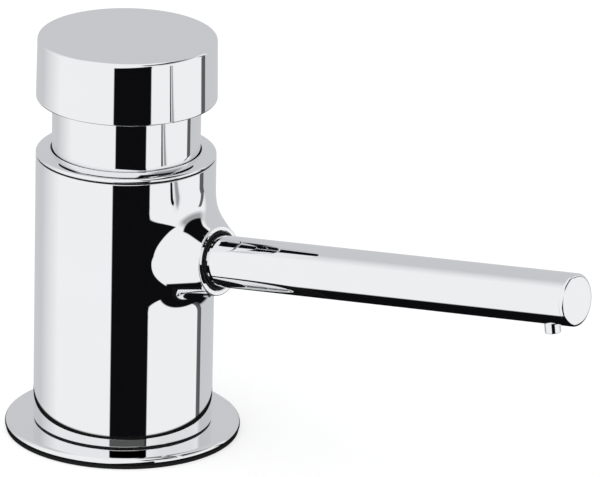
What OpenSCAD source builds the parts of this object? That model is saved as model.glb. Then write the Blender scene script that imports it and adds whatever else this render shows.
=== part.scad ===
// Deck-mounted soap dispenser with a push-button pump, in millimetres.
// The origin is on the body's axis at the deck surface, +Z is up and the spout points along +X.

/* [Body] */
// Outside diameter of the body
body_d = 45; // [43:0.5:52]
// Wall of the body around the pump
body_wall = 3; // [2.6:0.1:3.4]
// Thickness of the body's floor, which takes the shank
floor_h = 6; // [5:0.5:9]
// Visible height of the collar ring on top of the body
collar_h = 1.6; // [1.6:0.1:3]
// Width of the rounding on the collar ring's top edge
collar_round_w = 3.5; // [1:0.1:3.6]
// Height of that rounding
collar_round_h = 1.35; // [0.8:0.05:1.4]
// Open ring between the collar ring and the sleeve
collar_gap = 0.3; // [0.2:0.05:0.4]
// Depth of the collar ring's spigot inside the body
collar_spigot_h = 2; // [1.5:0.1:4]
// Chamfer on the edges that meet at a visible seam
seam_chamfer = 0.2; // [0.1:0.05:0.35]
// Thickness of the black seal rings in the two seams of the body
seam_seal_h = 0.4; // [0.3:0.05:0.6]
// How far those rings lie inside the body's wall
seam_seal_inset = 0.35; // [0.25:0.05:0.8]

/* [Push button] */
// Outside diameter of the cap
cap_d = 45.1; // [43:0.1:52]
// How much narrower the cap is at its top
cap_draft = 0.5; // [0:0.1:1.5]
// Height of the cap
cap_h = 16; // [14:0.1:22]
// Thickness of the cap's top
cap_top_t = 3.5; // [2:0.1:5]
// Radius of the cap's top edge
cap_round = 1; // [0.3:0.1:1.5]
// Radius of the cap's lower edge
cap_foot_round = 0.4; // [0.2:0.1:0.8]
// Outside diameter of the sleeve under the cap
sleeve_d = 37; // [36:0.1:37.2]
// Wall of the sleeve
sleeve_wall = 1.8; // [1.4:0.1:2.4]
// Height of the stop lip at the sleeve's lower end
lip_h = 2.4; // [1.5:0.1:4]
// Height of the plastic bush that guides the sleeve
bush_h = 4.8; // [3:0.1:8]
// Travel of the button
press_travel = 10; // [6:0.5:14]
// Space left under the cap when the button is pressed
cap_gap = 3.2; // [1:0.05:6]

/* [Spout] */
// Height of the spout's axis over the deck, on the body's axis
spout_height = 47.2; // [44:0.1:70]
// Rise of the spout in degrees
spout_rise = 7.8; // [0:0.1:12]
// Distance from the body's axis to the end of the spout
spout_reach = 135.8; // [90:0.1:180]
// Outside diameter of the spout tube
spout_d = 12.9; // [12.6:0.1:13.6]
// Wall of the spout tube
spout_wall = 1; // [0.8:0.1:1.2]
// Outside diameter of the socket that holds the tube
socket_d = 17.5; // [17:0.1:19]
// Distance from the body's axis to the face of the socket
socket_reach = 29.5; // [28:0.1:33]
// Width of the open ring round the tube at the socket's mouth
mouth_gap = 1; // [0.8:0.05:1.1]
// How far the black ring lies behind the socket's face
ring_inset = 0.1; // [0.05:0.05:0.5]
// Half width of the flare where its blend meets the body
foot_half_w = 15.2; // [15:0.1:17]
// Half height of the flare where its blend meets the body
foot_half_h = 16; // [14:0.1:16.5]
// Half width of the flare's cone at the body, without its blend
cone_half_w = 14.2; // [12.5:0.1:14.5]
// Half height of the flare's cone at the body, without its blend
cone_half_h = 11; // [10:0.1:12]
// Height of the flare's foot over the spout's axis
flare_rise = 2.2; // [0:0.1:2.5]
// Length of plain socket in front of the flare
socket_plain = 0.4; // [0.3:0.1:2]
// Thickness of the plug's rim at the end of the spout
plug_rim_h = 1.2; // [1:0.1:3]
// Depth of the plug inside the tube
plug_depth = 3.8; // [3:0.1:6]
// Chamfer at the end of the spout
plug_chamfer = 0.8; // [0.3:0.1:0.9]
// Distance from the end of the spout to the nozzle's axis
nozzle_back = 8; // [7.8:0.1:8.2]
// Outside diameter of the nozzle
nozzle_d = 4; // [3.2:0.1:4.2]
// Bore of the nozzle
nozzle_bore_d = 2.2; // [1.4:0.1:2.4]
// Length of the nozzle below the tube
nozzle_drop = 2.3; // [1:0.1:5]
// Length of the block inside the tube that carries the nozzle
block_l = 5.8; // [5.6:0.1:6.2]

/* [Base and deck] */
// Thickness of the black gasket under the rosette
gasket_h = 1; // [0.6:0.1:2]
// How far the gasket lies inside the rosette's rim
gasket_inset = 0.25; // [0.1:0.05:1]
// Outside diameter of the rosette
rosette_d = 59.2; // [56:0.1:70]
// Thickness of the rosette
rosette_h = 1.7; // [1.6:0.1:4]
// Radius of the rosette's upper rim
rosette_round = 1.2; // [0.4:0.1:1.3]
// Thickness of the deck between the gasket and the clamp
deck_t = 18; // [5:1:40]
// Outside diameter of the shank's thread
shank_d = 28; // [27:0.1:30]
// Distance between the turns of the two threads
thread_pitch = 3; // [2:0.1:4]
// Depth of the two threads
thread_depth = 0.8; // [0.4:0.1:1]
// Bore of the shank
shank_bore_d = 19; // [14:0.5:20]
// Outside diameter of the free end, where a bottle screws on
bottle_thread_d = 24; // [23:0.1:26]
// Length of the free end
bottle_thread_h = 15; // [10:0.5:25]
// Outside diameter of the two clamp washers
washer_d = 46; // [44:0.5:56]
// Thickness of the rubber washer
rubber_h = 2.5; // [1.5:0.1:4]
// Thickness of the steel washer
washer_h = 1.5; // [1:0.1:3]
// Width of the fixing nut across its flats
nut_flats = 38; // [36:0.5:44]
// Height of the fixing nut
nut_h = 9; // [6:0.5:14]
// Length of the suction tube below the shank
suction_drop = 4; // [2:0.5:40]

/* [Pump] */
// Bore of the pump chamber
chamber_d = 14; // [12:0.1:16]
// Wall of the pump barrel
barrel_wall = 2; // [1.6:0.1:2.4]
// Height of the piston
piston_h = 6; // [5:0.1:9]
// Width of the piston's seal
seal_h = 2; // [1.6:0.1:2.6]
// Diameter of the piston rod
rod_d = 6; // [5:0.1:7]
// Height of the cap that closes the pump
pump_cap_h = 4.5; // [3:0.1:8]
// Thickness of the pump's base flange
flange_h = 3; // [2:0.1:5]
// Thickness of the seal under the flange
pump_seal_h = 1; // [0.6:0.1:2]
// Height of the threaded ring that holds the pump down
retainer_h = 4; // [3:0.5:8]
// Height of the inlet seat over the underside of the flange
inlet_seat_h = 7.6; // [6:0.1:10]
// Diameter of the inlet ball
inlet_ball_d = 5; // [4.4:0.1:5.4]
// Diameter of the outlet ball
outlet_ball_d = 3.6; // [3.4:0.1:3.8]
// Lift of both balls
ball_lift = 1.2; // [0.8:0.1:2]
// Thickness of the cage over the inlet ball
cage_h = 1.6; // [1:0.1:3]
// Distance of the outlet riser from the body's axis
riser_x = 13.2; // [13:0.1:13.4]
// Outside diameter of the feed hose in the spout
hose_d = 5.2; // [4.8:0.1:5.6]
// Bore of the feed hose
hose_bore_d = 3.2; // [3:0.1:3.4]
// Wire of the return spring
spring_wire = 1.2; // [0.8:0.1:1.3]
// Mean diameter of the return spring
spring_d = 14; // [13:0.5:18]
// Turns of the return spring
spring_turns = 9; // [6:0.5:11]
// Space between the spring's turns when the button is pressed
spring_gap = 2; // [0.6:0.1:3]

/* [Clearances] */
// Radial clearance of a sliding fit
slide_fit = 0.05; // [0.02:0.01:0.1]
// Radial clearance of a piece that is screwed or pressed into another
seat_fit = 0.05; // [0.02:0.01:0.1]
// Radial clearance of a piece that passes another
pass_fit = 0.4; // [0.3:0.05:0.6]
// Space left at each end of a travel
stop_gap = 0.3; // [0.2:0.05:0.5]
// Space between a resting ball and its seat
ball_rest = 0.03; // [0.01:0.01:0.05]

/* [Hidden] */
$fn = 96;
// Overlap of a cut beyond the face it opens
cut = 0.2;

// Radii of the outer pieces
body_r = body_d / 2;
bore_r = body_r - body_wall;
bush_step = 0.7;
bush_hole_r = bore_r + bush_step;
cap_r = cap_d / 2;
sleeve_r = sleeve_d / 2;
sleeve_bore_r = sleeve_r - sleeve_wall;
lip_r = bore_r - pass_fit;
rosette_r = rosette_d / 2;
gasket_r = rosette_r - gasket_inset;
shank_r = shank_d / 2;
shank_bore_r = shank_bore_d / 2;
bottle_thread_r = bottle_thread_d / 2;
washer_bore_r = shank_r + pass_fit;

// Heights from the deck up to the body's floor
z_rosette = gasket_h;
z_seal = z_rosette + rosette_h;
z_body = z_seal + seam_seal_h;
z_floor = z_body + floor_h;

// The spout's frame, with the socket, the tube and what it holds
tube_r = spout_d / 2;
tube_bore_r = tube_r - spout_wall;
socket_r = socket_d / 2;
socket_bore_r = tube_r + seat_fit;
tube_set_out = 1.6;
tube_start = bore_r + tube_set_out;
plug_start = spout_reach - plug_rim_h;
nozzle_s = spout_reach - nozzle_back;
nozzle_r = nozzle_d / 2;
block_end = plug_start - plug_depth;
block_start = block_end - block_l;
block_r = tube_bore_r - seat_fit;
hose_r = hose_d / 2;
hose_bore_r = hose_bore_d / 2;
barb_r = hose_bore_r - seat_fit;
barb_wall = 0.55;
barb_bore_r = barb_r - barb_wall;
barb_l = 5;
hose_set_out = 1;
hose_start = bore_r + hose_set_out;
hose_end = block_start;
grub_back = 4.5;
grub_s = socket_reach - grub_back;
grub_r = 1.5;
grub_socket_r = 0.8;
grub_l = 3;
ring_r = mouth_gap / 2 - seat_fit / 2;
mouth_depth = 2 * ring_r + ring_inset;

// The outlet elbow, under the sleeve's lowest place
elbow_z = spout_height + riser_x * tan(spout_rise);
elbow_r = 2.5;
leg_r = 2.15;
leg_bore_r = 1.2;
elbow_clear = 1.6;

// Heights of the button, stacked over the elbow
z_lip_pressed = elbow_z + elbow_r + elbow_clear;
z_lip = z_lip_pressed + press_travel;
z_bush = z_lip + lip_h + stop_gap;
z_spigot = z_bush + bush_h;
z_rim = z_spigot + collar_spigot_h;
z_collar = z_rim + seam_seal_h;
z_collar_top = z_collar + collar_h;
z_cap = z_collar_top + press_travel + cap_gap;
z_top = z_cap + cap_h;
z_ceiling = z_top - cap_top_t;

// Heights of the pump, stacked on the body's floor
z_pump = z_floor + pump_seal_h;
z_retainer = z_pump + flange_h;
z_inlet = z_pump + inlet_seat_h;
inlet_ball_r = inlet_ball_d / 2;
inlet_hole_r = 1.6;
pocket_clear = 0.7;
inlet_pocket_r = inlet_ball_r + pocket_clear;
z_inlet_ball = z_inlet + ball_seat(inlet_ball_r, inlet_hole_r);
z_cage = z_inlet_ball + inlet_ball_r + ball_lift + stop_gap / 2;
cage_rim = 1.2;
cage_r = inlet_pocket_r + cage_rim;
z_chamber = z_cage + cage_h;
chamber_r = chamber_d / 2;
barrel_r = chamber_r + barrel_wall;
port_r = 1.4;
port_floor = 0.2;
piston_clear = 0.5;
z_port = z_chamber + port_r + port_floor;
z_piston = z_port + port_r + piston_clear + press_travel;
z_pump_cap = z_piston + piston_h + piston_clear;
z_spring = z_pump_cap + pump_cap_h;
outlet_ball_r = outlet_ball_d / 2;
outlet_hole_r = 1.1;
riser_bore_r = leg_r + seat_fit;
riser_wall = 1.4;
riser_r = riser_bore_r + riser_wall;
outlet_rise = 2.4;
z_outlet = z_port + outlet_rise;
z_outlet_ball = z_outlet + ball_seat(outlet_ball_r, outlet_hole_r);
z_leg = z_outlet_ball + outlet_ball_r + ball_lift + stop_gap / 2;
leg_hold = 6;
z_riser_top = z_leg + leg_hold;
nipple_r = 3.2;
nipple_bore_r = 1.6;
nipple_drop = 5;
z_nipple = -deck_t / 2 - nipple_drop;
flange_clear = 0.2;
flange_r = bore_r - flange_clear;
retainer_bore_r = 17;
vent_r = 0.6;

// The piston and its rod
rod_r = rod_d / 2;
piston_r = chamber_r - slide_fit;
seal_groove_depth = 2;
seal_groove_r = chamber_r - seal_groove_depth;
stud_r = 1.8;
stud_l = 4;
z_rod = z_piston + piston_h;

// The return spring and the insert that it lifts
spring_r = spring_d / 2;
wire_r = spring_wire / 2;
spring_rest = 0.1;
spring_l = spring_turns * (spring_wire + spring_gap) + spring_wire + press_travel;
z_insert = z_spring + spring_l + 2 * spring_rest;
insert_r = sleeve_bore_r - seat_fit;
insert_disc_h = 4;
insert_rim = 2.5;
hub_clear = 1.4;
hub_r = spring_r - wire_r - hub_clear;
hub_drop = 6;
screw_bridge = 1;
z_rod_top = z_insert + insert_disc_h - screw_bridge;
screw_r = 1.45;
screw_head_r = 2.8;
screw_head_h = 2;
screw_l = 8;

// Heights below the deck
z_rubber = -deck_t - rubber_h;
z_washer = z_rubber - washer_h;
z_nut = z_washer - nut_h;
nut_clear = 1.5;
z_thread_end = z_nut - nut_clear;
z_shank = z_thread_end - bottle_thread_h;
z_suction = z_shank - suction_drop;
suction_wall = 1.3;
suction_bore_r = nipple_r + seat_fit;
nut_bore_r = shank_r + seat_fit;
nut_round_r = nut_flats / 2 / cos(30);

// Height of a ball's centre over the small end of its 45 degree seat
function ball_seat(ball_r, hole_r) = 2 * ball_r * cos(45) - hole_r + ball_rest;

// Points of an oval arc about a centre, from one angle to another
function oval_arc(centre, width, height, from, to, steps) =
    [for (i = [0 : steps]) let (angle = from + (to - from) * i / steps)
        centre + [width * cos(angle), height * sin(angle)]];

// Points of a round arc
function arc(centre, radius, from, to, steps = 6) = oval_arc(centre, radius, radius, from, to, steps);

// Points up a threaded wall, in and out between two heights
function thread_points(radius, low, high) =
    let (turns = floor((high - low) / thread_pitch))
    let (start = high - turns * thread_pitch)
    [for (i = [0 : 2 * turns]) [radius - thread_depth * (i % 2), start + i * thread_pitch / 2]];

// Ring with a square section between two radii and two heights
module ring(inner, outer, low, high) {
    rotate_extrude() translate([inner, low]) square([outer - inner, high - low]);
}

// Cylinder between two heights
module rod(radius, low, high) {
    translate([0, 0, low]) cylinder(r = radius, h = high - low);
}

// Moves a shape to the spout's frame: +Z runs out along the spout and +X points down
module on_spout() {
    translate([0, 0, spout_height]) rotate([0, 90 - spout_rise, 0]) children();
}

// Cylinder that points down from the spout's axis, between two distances from that axis
module down_rod(radius, s, low, high) {
    translate([low, 0, s]) rotate([0, 90, 0]) cylinder(r = radius, h = high - low);
}

// Directions of the spout's frame
spout_along = [cos(spout_rise), 0, sin(spout_rise)];
spout_up = [-sin(spout_rise), 0, cos(spout_rise)];
spout_side = [0, 1, 0];
spout_base = [0, 0, spout_height];

// Direction away from the spout's axis at an angle round it
function around(angle) = cos(angle) * spout_side + sin(angle) * spout_up;

// Point of the body's wall at a width and a height over the spout's axis, sunk by a depth
function on_wall(width, height, depth = 0) =
    let (scale_in = (body_r - depth) / body_r)
    let (x = sqrt(body_r * body_r - width * width))
    [x * scale_in, width * scale_in, spout_height + x * tan(spout_rise) + height];

// Point of the socket's outside at a distance along the spout and an angle round it
function on_socket(s, angle, radius) = spout_base + s * spout_along + radius * around(angle);

// Point of an outline between a circle and a square, of half width 1
function rounded_square(angle, exponent) =
    [cos(angle), sin(angle)] * pow(pow(abs(cos(angle)), exponent) + pow(abs(sin(angle)), exponent), -1 / exponent);

// Where the flare's cone would meet the body's wall without a blend
function flare_corner(angle) =
    let (at = rounded_square(angle, cone_square))
    on_wall(cone_half_w * at.x, flare_rise + cone_half_h * at.y);

// Foot of the flare on the body's wall, widened by a margin
function flare_foot(angle, margin = 0, depth = 0) =
    let (at = rounded_square(angle, foot_square))
    on_wall((foot_half_w + margin) * at.x, flare_rise + (foot_half_h + margin) * at.y, depth);

// Point of a cubic curve with two end points and two control points
function curve(a, b, c, d, t) =
    pow(1 - t, 3) * a + 3 * t * pow(1 - t, 2) * b + 3 * t * t * (1 - t) * c + pow(t, 3) * d;

// Shape of the flare: how square its foot and its cone are, the pull of its blend towards the corner, the
// blend's longest share of the cone, how its two ends cross the socket and the wall, and its core
foot_square = 4;
cone_square = 2.6;
flare_pull = 0.75;
blend_share = 0.9;
flare_start = socket_reach - socket_plain;
flare_lift = 0.06;
flare_sink = 0.3;
flare_margin = 1;
flare_core_s = body_r - 4;
flare_core_r = socket_r - 2;

// One section of the flare: from inside the socket, down the cone, along the blend, to inside the body and back
function flare_section(angle, steps) =
    let (top = on_socket(flare_start, angle, socket_r + flare_lift))
    let (foot = flare_foot(angle, 0, -flare_lift))
    let (corner = flare_corner(angle))
    let (start = corner + (top - corner) * min(norm(corner - foot) / norm(top - corner), blend_share))
    let (b = start + flare_pull * (corner - start))
    let (c = foot + flare_pull * (corner - foot))
    concat(
        [on_socket(flare_start + socket_plain / 2, angle, socket_r - flare_sink), top],
        [for (i = [0 : steps]) curve(start, b, c, foot, i / steps)],
        [flare_foot(angle, flare_margin, flare_sink)],
        [on_socket(flare_core_s, angle, flare_core_r)]);

// Closed ring of sections, joined side by side
module flare(sections = 64, steps = 8) {
    count = steps + 5;
    points = [for (k = [0 : sections - 1]) each flare_section(360 * k / sections, steps)];
    faces = [for (k = [0 : sections - 1]) for (i = [0 : count - 1])
        let (here = k * count, next = (k + 1) % sections * count, j = (i + 1) % count)
        each [[here + i, next + i, next + j], [here + i, next + j, here + j]]];
    polyhedron(points, faces, convexity = 6);
}

// Black rubber ring between the rosette and the deck
module base_gasket() {
    color("#1a1a1a") ring(washer_bore_r, gasket_r, 0, gasket_h);
}

// Flat chromed disc with a rounded rim
module rosette() {
    outline = concat(
        [[washer_bore_r, z_rosette], [rosette_r - seam_chamfer, z_rosette], [rosette_r, z_rosette + seam_chamfer]],
        arc([rosette_r - rosette_round, z_seal - rosette_round], rosette_round, 0, 90),
        [[washer_bore_r, z_seal]]);
    color("#d9dce0") rotate_extrude() polygon(outline);
}

// Black rubber ring in the seam between the rosette and the body
module body_seal() {
    color("#1a1a1a") ring(washer_bore_r, body_r - seam_seal_inset, z_seal, z_body);
}

// Chromed body with its floor, its pump space and the flared socket of the spout
module body_shell() {
    outline = [[shank_r + seat_fit, z_body], [body_r - seam_chamfer, z_body], [body_r, z_body + seam_chamfer],
        [body_r, z_rim - seam_chamfer], [body_r - seam_chamfer, z_rim], [shank_r + seat_fit, z_rim]];
    color("#d9dce0") difference() {
        union() {
            rotate_extrude() polygon(outline);
            difference() {
                union() {
                    on_spout() rod(socket_r, bore_r, socket_reach);
                    flare();
                }
                rod(bore_r, z_floor, z_rim);
            }
        }
        rod(bore_r, z_floor, z_bush + cut);
        rod(bush_hole_r, z_bush, z_rim + cut);
        on_spout() {
            rod(hose_r + pass_fit, bore_r / 2, socket_reach);
            rod(socket_bore_r, tube_start, socket_reach + cut);
            rod(tube_r + mouth_gap, socket_reach - mouth_depth, socket_reach + cut);
            down_rod(grub_r + seat_fit, grub_s, tube_r / 2, body_r);
        }
    }
}

// Black rubber ring in the seam between the body and the collar ring
module collar_seal() {
    color("#1a1a1a") ring(bush_hole_r, body_r - seam_seal_inset, z_rim, z_collar);
}

// Chromed ring with a rounded shoulder, screwed into the top of the body
module collar_ring() {
    mouth_r = sleeve_r + collar_gap;
    spigot_r = bush_hole_r - seat_fit;
    outline = concat(
        [[mouth_r, z_spigot], [spigot_r, z_spigot], [spigot_r, z_collar], [body_r - seam_chamfer, z_collar],
            [body_r, z_collar + seam_chamfer]],
        oval_arc([body_r - collar_round_w, z_collar_top - collar_round_h], collar_round_w, collar_round_h, 0, 90, 8),
        [[mouth_r, z_collar_top]]);
    color("#d9dce0") rotate_extrude() polygon(outline);
}

// Plastic bush under the collar ring, in which the sleeve slides
module guide_bush() {
    color("#2b2b2b") ring(sleeve_r + slide_fit, bush_hole_r - seat_fit, z_bush, z_spigot);
}

// Chromed cap that the hand presses
module push_cap() {
    inner = sleeve_r + seat_fit;
    top_r = cap_r - cap_draft / 2;
    outline = concat(
        [[0, z_ceiling], [inner, z_ceiling], [inner, z_cap]],
        arc([cap_r - cap_foot_round, z_cap + cap_foot_round], cap_foot_round, -90, 0, 4),
        arc([top_r - cap_round, z_top - cap_round], cap_round, 0, 90),
        [[0, z_top]]);
    color("#d9dce0") rotate_extrude() polygon(outline);
}

// Chromed sleeve that joins the cap to the body, with a stop lip at its lower end
module button_sleeve() {
    color("#d9dce0") union() {
        ring(sleeve_bore_r, sleeve_r, z_lip, z_ceiling);
        ring(sleeve_bore_r, lip_r, z_lip, z_lip + lip_h);
    }
}

// Plastic insert inside the sleeve, with the rod's socket and the spring's seat
module cap_insert() {
    color("#f2f2ee") difference() {
        union() {
            rod(insert_r, z_insert, z_ceiling);
            rod(hub_r, z_insert - hub_drop, z_insert + cut);
        }
        rod(insert_r - insert_rim, z_insert + insert_disc_h, z_ceiling + cut);
        rod(rod_r + seat_fit, z_insert - hub_drop - cut, z_rod_top + seat_fit);
        rod(screw_r + seat_fit, z_rod_top, z_ceiling);
    }
}

// Steel screw that holds the rod in the insert
module rod_screw() {
    head = z_insert + insert_disc_h;
    color("#a9adb2") difference() {
        union() {
            rod(screw_head_r, head, head + screw_head_h);
            rod(screw_r, head - screw_l, head + cut);
        }
        translate([0, 0, head + screw_head_h / 2]) cylinder(r = screw_r, h = screw_head_h, $fn = 6);
    }
}

// Steel rod from the insert down to the piston
module piston_rod() {
    color("#a9adb2") difference() {
        union() {
            rod(rod_r, z_rod, z_rod_top);
            rod(stud_r, z_rod - stud_l, z_rod + cut);
        }
        rod(screw_r + seat_fit, z_rod_top - screw_l, z_rod_top + cut);
    }
}

// Plastic piston with a groove for its seal
module piston() {
    middle = z_piston + piston_h / 2;
    groove_half = seal_h / 2 + seat_fit;
    color("#f2f2ee") difference() {
        rod(piston_r, z_piston, z_rod);
        ring(seal_groove_r, piston_r + cut, middle - groove_half, middle + groove_half);
        rod(stud_r + seat_fit, z_rod - stud_l - seat_fit, z_rod + cut);
    }
}

// Rubber ring in the piston's groove
module piston_seal() {
    middle = z_piston + piston_h / 2;
    inner = seal_groove_r + seat_fit;
    outer = chamber_r - slide_fit / 2;
    color("#2b2b2b") ring(inner, outer, middle - seal_h / 2, middle + seal_h / 2);
}

// Points round the wire at one place on the spring's helix
function spring_ring(turn, sides) =
    let (angle = 360 * turn)
    let (z = z_spring + spring_rest + wire_r + turn / spring_turns * (spring_l - spring_wire))
    [for (i = [0 : sides - 1]) let (a = 360 * i / sides)
        [(spring_r + wire_r * cos(a)) * cos(angle), (spring_r + wire_r * cos(a)) * sin(angle),
            z + wire_r * sin(a)]];

// Steel return spring between the pump's cap and the insert
module return_spring(sides = 8, per_turn = 14) {
    rings = round(spring_turns * per_turn);
    points = [for (k = [0 : rings]) each spring_ring(k / per_turn, sides)];
    walls = [for (k = [0 : rings - 1]) for (i = [0 : sides - 1])
        let (here = k * sides, next = (k + 1) * sides, j = (i + 1) % sides)
        each [[here + i, next + i, next + j], [here + i, next + j, here + j]]];
    low_end = [[for (i = [0 : sides - 1]) i]];
    high_end = [[for (i = [0 : sides - 1]) (rings + 1) * sides - 1 - i]];
    echo(least_gap_between_turns = (spring_l - spring_wire) / spring_turns - spring_wire);
    color("#c4c8cc") polyhedron(points, concat(low_end, walls, high_end), convexity = 10);
}

// Plastic pump with its chamber, its inlet seat and the riser of the outlet valve
module pump_housing() {
    color("#f2f2ee") difference() {
        union() {
            rod(flange_r, z_pump, z_retainer);
            rod(barrel_r, z_pump, z_pump_cap);
            rod(nipple_r, z_nipple, z_pump + cut);
            translate([riser_x, 0, 0]) rod(riser_r, z_retainer - cut, z_riser_top);
            translate([0, -riser_r, z_retainer - cut]) cube([riser_x, 2 * riser_r, z_riser_top - z_retainer]);
        }
        rod(chamber_r, z_chamber, z_riser_top + z_pump_cap);
        rod(cage_r + seat_fit, z_cage, z_chamber + cut);
        rod(inlet_pocket_r, z_inlet + inlet_pocket_r - inlet_hole_r, z_cage + cut);
        translate([0, 0, z_inlet])
            cylinder(r1 = inlet_hole_r, r2 = inlet_pocket_r, h = inlet_pocket_r - inlet_hole_r);
        rod(nipple_bore_r, z_nipple - cut, z_inlet + cut);
        translate([0, 0, z_port]) rotate([0, 90, 0]) cylinder(r = port_r, h = riser_x);
        translate([riser_x, 0, 0]) {
            rod(outlet_hole_r, z_port, z_outlet + cut);
            translate([0, 0, z_outlet])
                cylinder(r1 = outlet_hole_r, r2 = riser_bore_r, h = riser_bore_r - outlet_hole_r);
            rod(riser_bore_r, z_outlet + riser_bore_r - outlet_hole_r, z_riser_top + cut);
        }
    }
}

// Plastic cap of the pump, which guides the rod and carries the spring
module pump_cap() {
    plug_h = 0.4;
    color("#e4e4df") difference() {
        union() {
            rod(barrel_r, z_pump_cap, z_spring);
            rod(chamber_r - seat_fit, z_pump_cap - plug_h, z_pump_cap + cut);
        }
        rod(rod_r + slide_fit, z_pump_cap - plug_h - cut, z_spring + cut);
        translate([0, (rod_r + chamber_r) / 2, 0]) rod(vent_r, z_pump_cap - plug_h - cut, z_spring + cut);
    }
}

// Rubber seal between the pump's flange and the body's floor
module pump_seal() {
    color("#1a1a1a") ring(shank_r, flange_r, z_floor, z_pump);
}

// Brass ring that is screwed down on the pump's flange, with two spanner slots
module pump_retainer() {
    slot_w = 3;
    color("#b8964a") difference() {
        ring(retainer_bore_r, bore_r - seat_fit, z_retainer, z_retainer + retainer_h);
        translate([-bore_r, -slot_w / 2, z_retainer + retainer_h / 2]) cube([2 * bore_r, slot_w, retainer_h]);
    }
}

// Steel ball of the inlet valve
module inlet_ball() {
    color("#a9adb2") translate([0, 0, z_inlet_ball]) sphere(r = inlet_ball_r);
}

// Plastic disc with three openings that keeps the inlet ball in its pocket
module inlet_cage() {
    hole_r = 1.1;
    hole_x = 1.9;
    color("#e4e4df") difference() {
        rod(cage_r, z_cage, z_chamber);
        for (k = [0 : 2]) rotate(120 * k) translate([hole_x, 0, 0]) rod(hole_r, z_cage - cut, z_chamber + cut);
    }
}

// Steel ball of the outlet valve
module outlet_ball() {
    color("#a9adb2") translate([riser_x, 0, z_outlet_ball]) sphere(r = outlet_ball_r);
}

// Plastic elbow from the riser to the feed hose
module outlet_elbow() {
    slot_w = 0.9;
    along = riser_x / cos(spout_rise);
    color("#e4e4df") difference() {
        union() {
            translate([riser_x, 0, 0]) rod(leg_r, z_leg, elbow_z);
            translate([riser_x, 0, elbow_z]) sphere(r = elbow_r);
            on_spout() rod(barb_r, along, hose_start + barb_l);
        }
        translate([riser_x, 0, 0]) rod(leg_bore_r, z_leg - cut, elbow_z);
        on_spout() rod(barb_bore_r, along, hose_start + barb_l + cut);
        translate([riser_x - elbow_r, -slot_w / 2, z_leg - slot_w]) cube([2 * elbow_r, slot_w, 2 * slot_w]);
    }
}

// Clear hose that carries the soap through the spout
module feed_hose() {
    color("#dfe6ea") on_spout() ring(hose_bore_r, hose_r, hose_start, hose_end);
}

// Chromed tube of the spout, with the nozzle's hole on its underside
module spout_tube() {
    color("#d9dce0") on_spout() difference() {
        ring(tube_bore_r, tube_r, tube_start, plug_start);
        down_rod(nozzle_r + seat_fit, nozzle_s, tube_bore_r / 2, tube_r + cut);
    }
}

// Black ring that closes the mouth of the socket
module spout_o_ring() {
    color("#111111") on_spout() translate([0, 0, socket_reach - mouth_depth + ring_r])
        rotate_extrude() translate([tube_r + mouth_gap / 2, 0]) circle(r = ring_r, $fn = 32);
}

// Steel grub screw under the socket that holds the tube
module spout_grub_screw() {
    start = tube_r + seat_fit / 2;
    color("#a9adb2") on_spout() difference() {
        down_rod(grub_r, grub_s, start, start + grub_l);
        translate([start + grub_l / 2, 0, grub_s]) rotate([0, 90, 0])
            cylinder(r = grub_socket_r, h = grub_l, $fn = 6);
    }
}

// Chromed plug that closes the end of the spout
module spout_end_plug() {
    outline = [[0, block_end], [block_r, block_end], [block_r, plug_start], [tube_r, plug_start],
        [tube_r, spout_reach - plug_chamfer], [tube_r - plug_chamfer, spout_reach], [0, spout_reach]];
    color("#d9dce0") on_spout() rotate_extrude() polygon(outline);
}

// Plastic block inside the tube that turns the soap down into the nozzle
module outlet_block() {
    color("#e4e4df") on_spout() difference() {
        union() {
            rod(block_r, block_start, block_end);
            rod(barb_r, block_start - barb_l, block_start + cut);
        }
        rod(barb_bore_r, block_start - barb_l - cut, nozzle_s);
        down_rod(nozzle_r + seat_fit, nozzle_s, nozzle_r, block_r + cut);
        down_rod(nozzle_bore_d / 2, nozzle_s, 0, block_r);
    }
}

// Chromed nozzle on the underside of the spout
module spout_nozzle() {
    edge = 0.25;
    low = nozzle_r + seat_fit;
    high = tube_r + nozzle_drop;
    outline = [[nozzle_bore_d / 2, low], [nozzle_r, low], [nozzle_r, high - edge], [nozzle_r - edge, high],
        [nozzle_bore_d / 2, high]];
    color("#d9dce0") on_spout() translate([0, 0, nozzle_s]) rotate([0, 90, 0])
        rotate_extrude() polygon(outline);
}

// Brass shank that goes through the deck, with a smaller thread at its free end
module threaded_shank() {
    edge = 0.6;
    shoulder = 2;
    top_clear = 0.2;
    top = z_floor - top_clear;
    outline = concat(
        [[shank_bore_r, z_shank], [bottle_thread_r - edge, z_shank], [bottle_thread_r, z_shank + edge]],
        thread_points(bottle_thread_r, z_shank + 2 * edge, z_thread_end - shoulder),
        [[bottle_thread_r, z_thread_end], [shank_r - edge, z_thread_end], [shank_r, z_thread_end + edge]],
        thread_points(shank_r, -deck_t, 0),
        [[shank_r, top], [shank_bore_r, top]]);
    color("#b8964a") rotate_extrude() polygon(outline);
}

// Rubber washer against the underside of the deck
module clamp_rubber() {
    color("#1a1a1a") ring(washer_bore_r, washer_d / 2, z_rubber, -deck_t);
}

// Steel washer between the nut and the rubber
module clamp_washer() {
    color("#a9adb2") ring(washer_bore_r, washer_d / 2, z_washer, z_rubber);
}

// Brass nut that clamps the dispenser to the deck
module fixing_nut() {
    chamfer = nut_round_r - nut_flats / 2;
    color("#b8964a") difference() {
        intersection() {
            translate([0, 0, z_nut]) cylinder(r = nut_round_r, h = nut_h, $fn = 6);
            translate([0, 0, z_nut])
                cylinder(r1 = nut_flats / 2, r2 = nut_flats / 2 + nut_h, h = nut_h);
        }
        rod(nut_bore_r, z_nut - cut, z_washer + cut);
        translate([0, 0, z_nut - cut]) cylinder(r1 = nut_bore_r + chamfer / 4, r2 = nut_bore_r, h = chamfer / 2);
    }
}

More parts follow.
